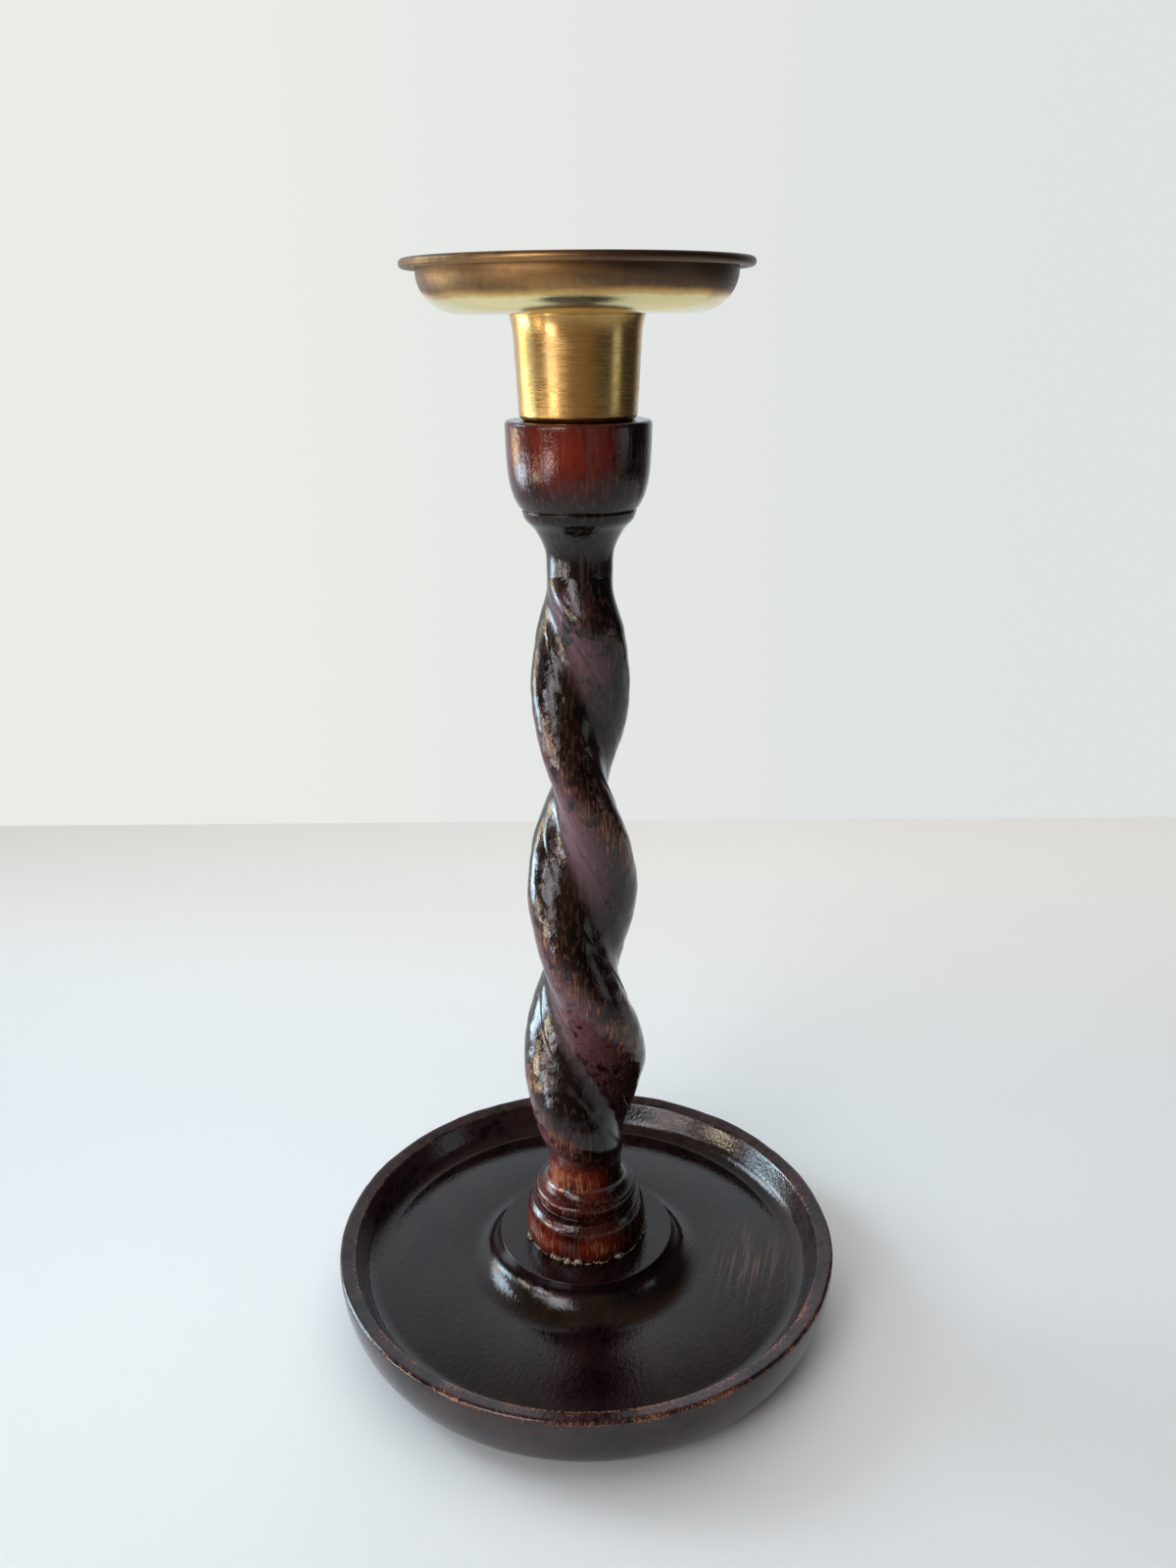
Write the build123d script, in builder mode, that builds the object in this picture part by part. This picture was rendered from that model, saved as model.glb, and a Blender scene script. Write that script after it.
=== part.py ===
from build123d import *
import math
import os

# A barley twist candlestick: a turned oak dish, a turned and carved oak stem glued into it,
# and a brass candle cup and drip pan held to the stem's head by one screw.
# Millimetres, +Z up, with the origin on the table under the stem's axis.

# dish: outside, rim and hollow
dish_radius = 63.5
dish_foot_tuck = 10.5
dish_rim_height = 19.0
rim_edge_radius = 0.9
rim_width = 3.9
rim_fall = 0.7
well_wall_lean_angle = 25.0
well_cove_radius = 4.6
well_floor_height = 11.0
well_floor_rise = 0.9
well_floor_crown = 0.5

# dish: the boss that carries the stem
boss_radius = 22.2
boss_height = 19.9
boss_cove_width = 8.2

# stem: the tenon glued into the boss
tenon_radius = 6.35
tenon_length = 13.0
glue_gap = 0.1
glue_well_depth = 1.0

# stem: the turned foot, from the boss upwards
foot_ring_radius = 15.4
foot_ring_height = 10.4
groove_depth = 1.6
groove_height = 0.9
bead_radius = 12.8
bead_height = 3.2
foot_cove_height = 3.9
lower_neck_radius = 9.1
lower_neck_height = 4.2

# stem: the carved twist, two strands turning left-handed round the axis
twist_length = 148.0
twist_pitch = 95.0
strand_offset = 5.3
run_out_length = 12.0
first_strand_angle = 108.0
valley_softness_share = 0.25
valley_fill_share = 0.7
twist_sections = 32
strand_points = 12

# stem: the turned head that the candle cup stands on
upper_neck_radius = 7.15
throat_height = 13.8
throat_radius = 12.3
quirk_depth = 0.35
quirk_height = 0.7
bowl_foot_radius = 12.75
bowl_radius = 15.4
bowl_height = 17.7
bowl_edge_radius = 0.8

# candle cup: drawn brass, with its mouth rolled over the pan
cup_foot_radius = 12.35
cup_waist_radius = 13.1
cup_shoulder_radius = 13.9
cup_neck_radius = 13.4
cup_height = 20.6
cup_flare_height = 5.0
cup_corner_radius = 1.3
cup_wall = 0.9
cup_base = 0.9
flange_radius = 15.7
flange_thickness = 0.7
mouth_edge_radius = 0.5

# drip pan: spun brass with a rolled rim
pan_thickness = 0.8
pan_fit = 0.05
pan_floor_radius = 23.6
pan_wall_radius = 32.5
pan_wall_height = 9.05
pan_bend_radius = 1.0
pan_rim_radius = 35.75
rim_bead_radius = 0.95

# cup screw: round head, slotted
screw_head_radius = 3.3
screw_head_height = 2.2
screw_slot_width = 0.8
screw_slot_depth = 1.1
screw_radius = 1.7
screw_length = 16.0
screw_point_length = 3.0
screw_fit = 0.05
cut_overrun = 1.0

# heights worked out from the sizes above, from the table upwards
foot_ring_top = boss_height + foot_ring_height
bead_foot = foot_ring_top + groove_height
bead_top = bead_foot + bead_height
foot_cove_top = bead_top + foot_cove_height
twist_foot = foot_cove_top + lower_neck_height
twist_top = twist_foot + twist_length
throat_top = twist_top + throat_height
bowl_foot = throat_top + quirk_height
head_top = bowl_foot + bowl_height
pan_underside = head_top + cup_height
pan_floor = pan_underside + pan_thickness
cup_mouth = pan_floor + flange_thickness
rim_bead_height = pan_underside + pan_wall_height + pan_thickness / 2

# shares along the twist, from its foot to its top: how much fuller a strand is than the neck,
# and how far the strands stand out from the axis
strand_swell_shares = [
    (0, 1), (0.1, 1.08), (0.28, 1.08), (0.45, 0.98), (0.6, 0.91), (0.69, 0.82), (0.84, 0.91), (1, 1),
]
strand_offset_shares = [
    (0, 0.9), (0.2, 1.04), (0.29, 1.1), (0.37, 1), (0.68, 0.97), (0.84, 0.82), (1, 0.7),
]

# shares of the turned curves: of their radii, or of the step between two radii, and of their heights
ring_curve_shares = [(0.965, 0), (1, 0.38), (0.965, 0.78), (0.895, 1)]
throat_curve_shares = [(0, 0), (0.06, 0.38), (0.45, 0.69), (0.86, 0.86), (1, 1)]
bowl_curve_shares = [(0, 0), (0.47, 0.14), (0.81, 0.36), (0.96, 0.66), (1, 0.93)]

# share by which the carving starts inside the turned necks, so that it runs into them cleanly
neck_inset_share = 0.005


def between(shares, place):
    """The value of a table of shares at a place from 0 to 1, in straight steps."""
    for (start, first), (end, last) in zip(shares, shares[1:]):
        if place <= end:
            return first + (last - first) * (place - start) / (end - start)
    return shares[-1][1]


def strand_outline(height):
    """Points round the twist's section: two round strands side by side, with a soft, part filled valley."""
    place = (height - twist_foot) / twist_length
    neck = (1 - neck_inset_share) * (lower_neck_radius + (upper_neck_radius - lower_neck_radius) * place)
    strand = neck * between(strand_swell_shares, place)
    end_distance = min(height - twist_foot, twist_top - height)
    fade = math.sin(math.pi / 2 * min(1, end_distance / run_out_length))
    offset = strand_offset * between(strand_offset_shares, place) * fade
    turn = math.radians(first_strand_angle) - 2 * math.pi * (height - twist_foot) / twist_pitch
    soft = valley_softness_share
    points = []
    for step in range(2 * strand_points + 1):
        angle = math.pi * step / strand_points
        round_part = math.sqrt(strand**2 - (offset * math.sin(angle)) ** 2)
        reach = (math.hypot(math.cos(angle), soft) - soft) / (math.hypot(1, soft) - soft)
        radius = round_part + offset * reach
        if radius * abs(math.cos(angle)) < offset:
            radius += valley_fill_share * (strand / abs(math.sin(angle)) - radius)
        points.append((radius * math.cos(angle + turn), radius * math.sin(angle + turn)))
    return points


def turned_curve(shares, low, high):
    """Points of a turned curve between two corners, given as shares of its width and height."""
    return [(low[0] + (high[0] - low[0]) * out, low[1] + (high[1] - low[1]) * up) for out, up in shares]


# the dish: one turned blank, hollowed round the boss that carries the stem
with BuildPart() as base_dish:
    dish_foot_radius = dish_radius - dish_foot_tuck
    rim_side = (dish_radius, dish_rim_height - rim_edge_radius)
    rim_top = (dish_radius - rim_edge_radius, dish_rim_height)
    rim_inner = (dish_radius - rim_width, dish_rim_height - rim_fall)
    wall_angle = math.radians(well_wall_lean_angle)
    cove_top_height = well_floor_height + well_cove_radius * (1 - math.sin(wall_angle))
    cove_top = (rim_inner[0] - (rim_inner[1] - cove_top_height) * math.tan(wall_angle), cove_top_height)
    cove_foot = (cove_top[0] - well_cove_radius * math.cos(wall_angle), well_floor_height)
    boss_cove_foot = (boss_radius + boss_cove_width, well_floor_height + well_floor_rise)
    floor_middle = (
        (cove_foot[0] + boss_cove_foot[0]) / 2,
        (cove_foot[1] + boss_cove_foot[1]) / 2 + well_floor_crown,
    )
    with BuildSketch(Plane.XZ):
        with BuildLine():
            Line((0, 0), (dish_foot_radius, 0))
            EllipticalCenterArc(
                (dish_foot_radius, rim_side[1]),
                dish_radius - dish_foot_radius,
                rim_side[1],
                start_angle=270,
            )
            TangentArc(rim_side, rim_top, tangent=(0, 1))
            Line(rim_top, rim_inner)
            Line(rim_inner, cove_top)
            TangentArc(cove_top, cove_foot, tangent=(-math.sin(wall_angle), -math.cos(wall_angle)))
            ThreePointArc(cove_foot, floor_middle, boss_cove_foot)
            EllipticalCenterArc(
                (boss_cove_foot[0], boss_height),
                boss_cove_width,
                boss_height - boss_cove_foot[1],
                start_angle=180,
            )
            Line((boss_radius, boss_height), (0, boss_height))
            Line((0, boss_height), (0, 0))
        make_face()
    revolve(axis=Axis.Z)
    with Locations((0, 0, boss_height)):
        Hole(tenon_radius + glue_gap, tenon_length + glue_well_depth)

# the stem: turned foot and head, with the two-start twist carved between them
with BuildPart() as twist_stem:
    spline_places = [step / strand_points for step in range(strand_points + 1)]
    for section in range(twist_sections + 1):
        height = twist_foot + twist_length * section / twist_sections
        outline = strand_outline(height)
        with BuildSketch(Plane.XY.offset(height)):
            with BuildLine():
                for half in (outline[: strand_points + 1], outline[strand_points:]):
                    add(Edge.make_spline(half, parameters=spline_places))
            make_face()
    loft()

    ring_points = [
        (foot_ring_radius * out, boss_height + foot_ring_height * up) for out, up in ring_curve_shares
    ]
    groove_radius = bead_radius - groove_depth / 2
    cove_start = (groove_radius, bead_top)
    cove_middle = (
        groove_radius - (groove_radius - lower_neck_radius) * math.sin(math.pi / 4),
        foot_cove_top - foot_cove_height * math.sin(math.pi / 4),
    )
    with BuildSketch(Plane.XZ):
        with BuildLine():
            Polyline(
                (0, boss_height - tenon_length),
                (tenon_radius, boss_height - tenon_length),
                (tenon_radius, boss_height),
                ring_points[0],
            )
            Spline(*ring_points)
            Polyline(
                ring_points[-1],
                (groove_radius, foot_ring_top + groove_height / 4),
                (groove_radius, bead_foot),
            )
            ThreePointArc(
                (groove_radius, bead_foot),
                (bead_radius, (bead_foot + bead_top) / 2),
                cove_start,
            )
            ThreePointArc(cove_start, cove_middle, (lower_neck_radius, foot_cove_top))
            Polyline(
                (lower_neck_radius, foot_cove_top),
                (lower_neck_radius, twist_foot),
                (0, twist_foot),
                (0, boss_height - tenon_length),
            )
        make_face()
    revolve(axis=Axis.Z)

    throat_foot = (upper_neck_radius, twist_top)
    throat_points = turned_curve(throat_curve_shares, throat_foot, (throat_radius, throat_top))
    bowl_points = turned_curve(bowl_curve_shares, (bowl_foot_radius, bowl_foot), (bowl_radius, head_top))
    with BuildSketch(Plane.XZ):
        with BuildLine():
            Line((0, twist_top), throat_points[0])
            Spline(*throat_points)
            Polyline(
                throat_points[-1],
                (throat_radius - quirk_depth, throat_top + quirk_height / 2),
                bowl_points[0],
            )
            Spline(*bowl_points)
            TangentArc(bowl_points[-1], (bowl_radius - bowl_edge_radius, head_top), tangent=(0, 1))
            Polyline((bowl_radius - bowl_edge_radius, head_top), (0, head_top), (0, twist_top))
        make_face()
    revolve(axis=Axis.Z)
    with Locations((0, 0, head_top)):
        Hole(screw_radius + screw_fit, screw_length)

# the candle cup: a drawn cup with a flat base, a flared shoulder and a rolled mouth
with BuildPart() as candle_cup:
    inner_foot = (cup_foot_radius - cup_wall, head_top + cup_base)
    mouth_radius = cup_neck_radius - cup_wall
    with BuildSketch(Plane.XZ) as cup_section:
        with BuildLine():
            Polyline(
                (screw_radius + screw_fit, head_top),
                (cup_foot_radius, head_top),
                (cup_waist_radius, pan_underside - cup_flare_height),
            )
            TangentArc(
                (cup_waist_radius, pan_underside - cup_flare_height),
                (cup_shoulder_radius, pan_underside),
                tangent=(cup_waist_radius - cup_foot_radius, cup_height - cup_flare_height),
            )
            Polyline(
                (cup_shoulder_radius, pan_underside),
                (cup_neck_radius, pan_underside),
                (cup_neck_radius, pan_floor),
                (flange_radius, pan_floor),
                (flange_radius, cup_mouth),
                (mouth_radius, cup_mouth),
                (mouth_radius, pan_underside),
                (cup_waist_radius - cup_wall, pan_underside - cup_flare_height),
                inner_foot,
                (screw_radius + screw_fit, inner_foot[1]),
                (screw_radius + screw_fit, head_top),
            )
        make_face()
        outer_corner = cup_section.vertices().sort_by_distance((cup_foot_radius, head_top))[0]
        fillet(outer_corner, cup_corner_radius)
        inner_corner = cup_section.vertices().sort_by_distance(inner_foot)[0]
        fillet(inner_corner, cup_corner_radius - cup_wall / 2)
        mouth_corner = cup_section.vertices().sort_by_distance((mouth_radius, cup_mouth))[0]
        fillet(mouth_corner, mouth_edge_radius)
    revolve(axis=Axis.Z)

# the drip pan: a spun saucer with a turned-out lip and a rolled rim
with BuildPart() as drip_pan:
    bead_centre = (pan_rim_radius - rim_bead_radius, rim_bead_height)
    lip_underside = pan_underside + pan_wall_height
    wall_foot_height = pan_wall_height - pan_bend_radius
    with BuildSketch(Plane.XZ) as pan_section:
        with BuildLine():
            Line((cup_neck_radius + pan_fit, pan_underside), (pan_floor_radius, pan_underside))
            EllipticalCenterArc(
                (pan_floor_radius, pan_underside + wall_foot_height),
                pan_wall_radius - pan_floor_radius,
                wall_foot_height,
                start_angle=270,
            )
            Polyline(
                (pan_wall_radius, pan_underside + wall_foot_height),
                (pan_wall_radius, lip_underside),
                (bead_centre[0], lip_underside),
                (bead_centre[0], lip_underside + pan_thickness),
                (pan_wall_radius - pan_thickness + pan_bend_radius, lip_underside + pan_thickness),
            )
            inner_bend = (pan_wall_radius - pan_thickness, lip_underside + pan_thickness - pan_bend_radius)
            TangentArc(
                (pan_wall_radius - pan_thickness + pan_bend_radius, lip_underside + pan_thickness),
                inner_bend,
                tangent=(-1, 0),
            )
            Line(inner_bend, (inner_bend[0], pan_underside + wall_foot_height))
            EllipticalCenterArc(
                (pan_floor_radius, pan_underside + wall_foot_height),
                pan_wall_radius - pan_thickness - pan_floor_radius,
                wall_foot_height - pan_thickness,
                start_angle=270,
            )
            Polyline(
                (pan_floor_radius, pan_floor),
                (cup_neck_radius + pan_fit, pan_floor),
                (cup_neck_radius + pan_fit, pan_underside),
            )
        make_face()
        with Locations(bead_centre):
            Circle(rim_bead_radius)
    revolve(axis=Axis.Z)

# the screw: down through the cup's base into the head of the stem
with BuildPart() as cup_screw:
    screw_seat = head_top + cup_base
    screw_tip = screw_seat - screw_length
    with BuildSketch(Plane.XZ):
        with BuildLine():
            Polyline(
                (0, screw_tip),
                (screw_radius, screw_tip + screw_point_length),
                (screw_radius, screw_seat),
                (screw_head_radius, screw_seat),
            )
            EllipticalCenterArc(
                (0, screw_seat),
                screw_head_radius,
                screw_head_height,
                start_angle=0,
            )
            Line((0, screw_seat + screw_head_height), (0, screw_tip))
        make_face()
    revolve(axis=Axis.Z)
    with BuildSketch(Plane.XY.offset(screw_seat + screw_head_height - screw_slot_depth)):
        Rectangle(2 * (screw_head_radius + cut_overrun), screw_slot_width)
    extrude(amount=screw_slot_depth + cut_overrun, mode=Mode.SUBTRACT)

base_dish.part.label = "base_dish"
twist_stem.part.label = "twist_stem"
candle_cup.part.label = "candle_cup"
drip_pan.part.label = "drip_pan"
cup_screw.part.label = "cup_screw"

os.makedirs("parts", exist_ok=True)
export_step(base_dish.part, "parts/base_dish.step")
export_step(twist_stem.part, "parts/twist_stem.step")
export_step(candle_cup.part, "parts/candle_cup.step")
export_step(drip_pan.part, "parts/drip_pan.step")
export_step(cup_screw.part, "parts/cup_screw.step")
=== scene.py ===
import bpy
import numpy as np
from mathutils import Matrix, Vector


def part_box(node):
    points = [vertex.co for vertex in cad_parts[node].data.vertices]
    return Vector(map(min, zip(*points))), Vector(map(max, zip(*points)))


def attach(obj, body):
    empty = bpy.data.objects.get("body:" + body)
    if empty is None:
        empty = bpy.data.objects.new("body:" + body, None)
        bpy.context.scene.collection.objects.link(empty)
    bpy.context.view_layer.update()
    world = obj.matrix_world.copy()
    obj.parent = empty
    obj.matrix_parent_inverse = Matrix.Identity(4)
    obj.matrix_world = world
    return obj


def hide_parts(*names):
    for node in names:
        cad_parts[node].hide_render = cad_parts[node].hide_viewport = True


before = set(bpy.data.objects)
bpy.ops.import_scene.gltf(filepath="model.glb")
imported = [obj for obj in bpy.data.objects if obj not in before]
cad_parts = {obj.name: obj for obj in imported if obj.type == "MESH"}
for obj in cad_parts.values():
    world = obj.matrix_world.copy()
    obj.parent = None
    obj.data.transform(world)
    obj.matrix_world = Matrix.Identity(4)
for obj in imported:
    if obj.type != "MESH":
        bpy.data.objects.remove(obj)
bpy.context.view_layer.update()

# The camera: less than an arm's length in front of the stick, level with its drip pan and looking
# down at the dish.
camera_place = Vector((0.0014, -0.2779, 0.2420))
camera_pitch_down = np.radians(19.76)
camera_roll = np.radians(-0.45)
camera_lens = 29.62
camera_data = bpy.data.cameras.new("camera")
camera_data.lens = camera_lens
camera_data.clip_start = 0.01
camera = bpy.data.objects.new("camera", camera_data)
bpy.context.collection.objects.link(camera)
camera.matrix_world = (
    Matrix.Translation(camera_place)
    @ Matrix.Rotation(np.pi / 2 - camera_pitch_down, 4, "X")
    @ Matrix.Rotation(camera_roll, 4, "Z")
)
bpy.context.scene.camera = camera
bpy.context.scene.view_settings.view_transform = "Standard"


# The table top: pale, plain and matt. Towards its far edge its colour is painted paler, painted
# light for the light that falls off there. It ends behind the stick, where the pale room shows
# over it.
def new_material(name):
    """A plain node material: returns the material, its nodes' tree and its Principled shader."""
    material = bpy.data.materials.new(name)
    material.use_nodes = True
    tree = material.node_tree
    return material, tree, tree.nodes["Principled BSDF"]


def shader_node(tree, kind, inputs=(), **settings):
    """One shader node, whose inputs, by name or number, get values or other nodes' sockets."""
    made = tree.nodes.new(kind)
    for setting, value in settings.items():
        setattr(made, setting, value)
    for place, value in dict(inputs).items():
        if isinstance(value, bpy.types.NodeSocket):
            tree.links.new(value, made.inputs[place])
        else:
            made.inputs[place].default_value = value
    return made


def ramp(tree, value, low, high, start=0.0, end=1.0):
    """A value carried smoothly from start at low to end at high, and held there."""
    return shader_node(tree, "ShaderNodeMapRange", {
        "Value": value,
        "From Min": low,
        "From Max": high,
        "To Min": start,
        "To Max": end,
    }, interpolation_type="SMOOTHSTEP").outputs[0]


def blended(tree, amount, first, second):
    """A colour between two colours. The mixing node's colours are inputs 6 and 7 and output 2."""
    mixing = shader_node(tree, "ShaderNodeMix", {0: amount, 6: first, 7: second}, data_type="RGBA")
    return mixing.outputs[2]


# The far colour is painted light: paler than the near one, for light that falls off at the far
# edge.
table_near_paint, table_far_painted_light = (0.71, 0.755, 0.77, 1), (0.945, 0.96, 0.93, 1)
table_left, table_right = -0.47, 0.75
table_front, table_back = -0.60, 0.339
table_mesh = bpy.data.meshes.new("table_top")
table_mesh.from_pydata(
    [
        (table_left, table_front, 0),
        (table_right, table_front, 0),
        (table_right, table_back, 0),
        (table_left, table_back, 0),
    ],
    [],
    [(0, 1, 2, 3)],
)
table_top = bpy.data.objects.new("table_top", table_mesh)
bpy.context.collection.objects.link(table_top)
table_paint, table_tree, table_shader = new_material("pale_table")
table_depth = shader_node(table_tree, "ShaderNodeSeparateXYZ", {
    0: shader_node(table_tree, "ShaderNodeTexCoord").outputs["Object"],
}).outputs[1]
# The table's tone: its own pale colour near, and painted light towards the far edge.
table_tone_with_painted_light = blended(
    table_tree, ramp(table_tree, table_depth, 0.05, 0.32), table_near_paint, table_far_painted_light
)
table_tree.links.new(table_tone_with_painted_light, table_shader.inputs["Base Color"])
table_shader.inputs["Roughness"].default_value = 0.6
table_mesh.materials.append(table_paint)


# The room: pale to the eye. To what it lights it is pale low down behind the table and on its left,
# dusky overhead and in front of the table, and darkest on the right.
def combine(tree, operation, first, second):
    """Two values put together by an arithmetic operation."""
    together = shader_node(tree, "ShaderNodeMath", {0: first, 1: second}, operation=operation)
    return together.outputs[0]


dusk_on_left, dusk_on_right = (0.23, 0.165, 0.11, 1), (0.045, 0.04, 0.045, 1)
pale_light = (0.77, 0.83, 0.90, 1)
wall_on_left, wall_on_right = (0.83, 0.84, 0.80, 1), (0.73, 0.76, 0.765, 1)
room = bpy.data.worlds.new("room")
bpy.context.scene.world = room
room.use_nodes = True
room_tree = room.node_tree
room_light = room_tree.nodes["Background"]
toward = shader_node(room_tree, "ShaderNodeSeparateXYZ", {
    0: shader_node(room_tree, "ShaderNodeTexCoord").outputs["Generated"],
})
rightward, backward, upward = toward.outputs
half_right = combine(room_tree, "MULTIPLY", rightward, 0.5)
back_and_left = combine(room_tree, "SUBTRACT", backward, half_right)
pale_side = ramp(room_tree, back_and_left, 0.2, 0.75)
low_down = ramp(room_tree, upward, 0.55, 0.98, 1.0, 0.1)
paleness = combine(room_tree, "MULTIPLY", pale_side, low_down)
dusk = blended(room_tree, ramp(room_tree, rightward, 0.2, 0.8), dusk_on_left, dusk_on_right)
room_tone = blended(room_tree, paleness, dusk, pale_light)
wall_tone = blended(
    room_tree, ramp(room_tree, rightward, -0.35, 0.35), wall_on_left, wall_on_right
)
seen = shader_node(room_tree, "ShaderNodeLightPath").outputs["Is Camera Ray"]
room_tree.links.new(blended(room_tree, seen, room_tone, wall_tone), room_light.inputs["Color"])
room_light.inputs["Strength"].default_value = 1.0


# The lamps: window panes on the left, cool and warm in turn, each standing where the wood or the
# brass mirrors it, then a dim wall on the right and a soft ceiling light that fills in.
def soft_lamp(name, azimuth, distance, low, high, width, radiance, colour, aim=None, spread=70):
    """An upright flat lamp round the stick, from one height to another, that faces the stick's
    axis at the height aimed at. Its azimuth is counted from the camera's side, positive to the
    right. Within its spread its light falls off as a gridded soft box's does, so its power is its
    radiance straight ahead times its area times pi, times the part that the grid lets out: 1 less
    half the spread over that half's tangent."""
    middle = (low + high) / 2
    bearing = np.radians(azimuth)
    lamp_place = Vector((np.sin(bearing) * distance, -np.cos(bearing) * distance, middle))
    away = lamp_place - Vector((0, 0, middle if aim is None else aim))
    half_spread = np.radians(spread / 2)
    data = bpy.data.lights.new(name, "AREA")
    data.shape = "RECTANGLE"
    data.size = width
    data.size_y = high - low
    data.spread = 2 * half_spread
    data.energy = radiance * width * (high - low) * np.pi * (1 - half_spread / np.tan(half_spread))
    data.color = colour
    lamp = bpy.data.objects.new(name, data)
    bpy.context.collection.objects.link(lamp)
    lamp.location = lamp_place
    lamp.visible_camera = False
    lamp.rotation_mode = "QUATERNION"
    lamp.rotation_quaternion = away.to_track_quat("Z", "Y")


soft_lamp("low_pane", -106, 0.55, 0.004, 0.12, 0.34, 29.0, (0.66, 0.86, 1.0), spread=44)
soft_lamp("low_curtain", -73, 0.55, 0.004, 0.09, 0.15, 26.0, (1.0, 0.86, 0.64), spread=44)
soft_lamp("low_edge", -53, 0.55, 0.004, 0.09, 0.06, 28.0, (0.70, 0.84, 1.0), spread=44)
soft_lamp("tall_pane", -110, 0.62, 0.22, 0.56, 0.28, 12.5, (0.70, 0.87, 1.0), aim=0.015, spread=50)
soft_lamp("front_pane", -47, 0.56, 0.088, 0.130, 0.17, 22.0, (0.98, 0.73, 0.66), spread=50)
soft_lamp("front_bar", -55, 0.56, 0.22, 0.28, 0.13, 16.0, (0.90, 0.90, 1.0), aim=0.12, spread=44)
soft_lamp("back_pane", -115, 0.56, 0.125, 0.17, 0.18, 13.0, (1.0, 0.76, 0.42), spread=50)
soft_lamp("back_rail", -118, 0.56, 0.175, 0.225, 0.20, 2.6, (1.0, 0.90, 0.66))
soft_lamp("high_pane", -33, 0.60, 0.18, 0.60, 0.26, 7.5, (0.95, 0.94, 1.0), aim=0.12)
soft_lamp("dim_wall", 74, 0.70, 0.08, 0.225, 0.20, 1.1, (0.86, 1.0, 0.97))

ceiling_width, ceiling_radiance = 1.6, 1.44
ceiling_data = bpy.data.lights.new("ceiling_light", "AREA")
ceiling_data.size = ceiling_width
ceiling_data.energy = ceiling_radiance * ceiling_width**2 * np.pi
ceiling_light = bpy.data.objects.new("ceiling_light", ceiling_data)
ceiling_light.location = (0.10, 0.22, 1.4)
ceiling_light.visible_camera = False
ceiling_light.visible_glossy = False
bpy.context.collection.objects.link(ceiling_light)


# The dish: one blank of oak, turned on a lathe and hollowed round the raised boss that the stem's
# tenon is glued into. It is stained nearly black, shellacked, and rubbed bare along its edges.
def arc_points(middle, reach, start, end, count):
    """Points (radius, height) on an ellipse: its middle, plus its reach times the cosine and the
    sine of an angle that runs from start to end in degrees."""
    turn = np.radians(np.linspace(start, end, count))
    radii, heights = middle[0] + reach[0] * np.cos(turn), middle[1] + reach[1] * np.sin(turn)
    return np.column_stack([radii, heights])


def turned_outline(stretches, softness, rings, closed=False, widest=0.0012, sharpest=0.12):
    """An outline as a lathe leaves it. The stretches of points (radius, height) are joined, walked
    in small equal steps and averaged over the softness, which eases each arris. The rings are then
    picked closest together where the outline turns most: each stands for as much length over the
    widest step plus turning over the sharpest as the next. Returns radii, heights and lengths
    walked."""
    points = np.vstack(stretches)
    if closed:
        points = np.vstack([points, points[:1]])
    walked = np.r_[0, np.cumsum(np.hypot(*np.diff(points, axis=0).T))]
    reach = 5
    step = softness / reach
    places = np.linspace(0, walked[-1], int(walked[-1] / step) + 1)
    fine = np.column_stack([np.interp(places, walked, points[:, k]) for k in (0, 1)])
    window = np.hanning(2 * reach + 3)[1:-1]
    window /= window.sum()
    if closed:
        padded = np.vstack([fine[-1 - reach:-1], fine, fine[1:1 + reach]])
    else:
        mirror = np.array([-1, 1])
        padded = np.vstack([fine[reach:0:-1] * mirror, fine, fine[-2:-2 - reach:-1] * mirror])
    soft = np.column_stack([np.convolve(padded[:, k], window, "valid") for k in (0, 1)])
    heading = np.unwrap(np.arctan2(*np.diff(soft, axis=0).T[::-1]))
    turning = np.abs(np.diff(heading, prepend=heading[0]))
    effort = np.r_[0, np.cumsum(step / widest + turning / sharpest)]
    chosen = np.interp(np.linspace(0, effort[-1], rings), effort, np.arange(len(soft)))
    radii = np.interp(chosen, np.arange(len(soft)), soft[:, 0])
    heights = np.interp(chosen, np.arange(len(soft)), soft[:, 1])
    if not closed:
        radii[[0, -1]] = 0
    return radii, heights, chosen * step


def gentle_waves(points, wavelength, seed):
    """Smooth unevenness between about -1 and 1: the sum of sixteen sine waves of about one
    wavelength, each in its own direction and with its own start, both drawn from the seed."""
    draw = np.random.default_rng(seed)
    count = 16
    directions = draw.normal(size=(count, 3))
    directions /= np.linalg.norm(directions, axis=1, keepdims=True)
    pace = 2 * np.pi / wavelength * draw.uniform(0.7, 1.4, count)
    start = draw.uniform(0, 2 * np.pi, count)
    phase = points @ (directions * pace[:, None]).T + start
    return np.sin(phase).sum(axis=-1) / np.sqrt(2 * count)


def round_grid(radii, heights, around):
    """Points of a turned surface: each ring's radius carried round the axis in equal angles."""
    angles = np.arange(around) * 2 * np.pi / around
    radii = np.broadcast_to(np.asarray(radii).reshape(len(heights), -1), (len(heights), around))
    return np.stack([
        radii * np.cos(angles),
        radii * np.sin(angles),
        np.broadcast_to(np.asarray(heights)[:, None], radii.shape),
    ], axis=-1)


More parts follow.
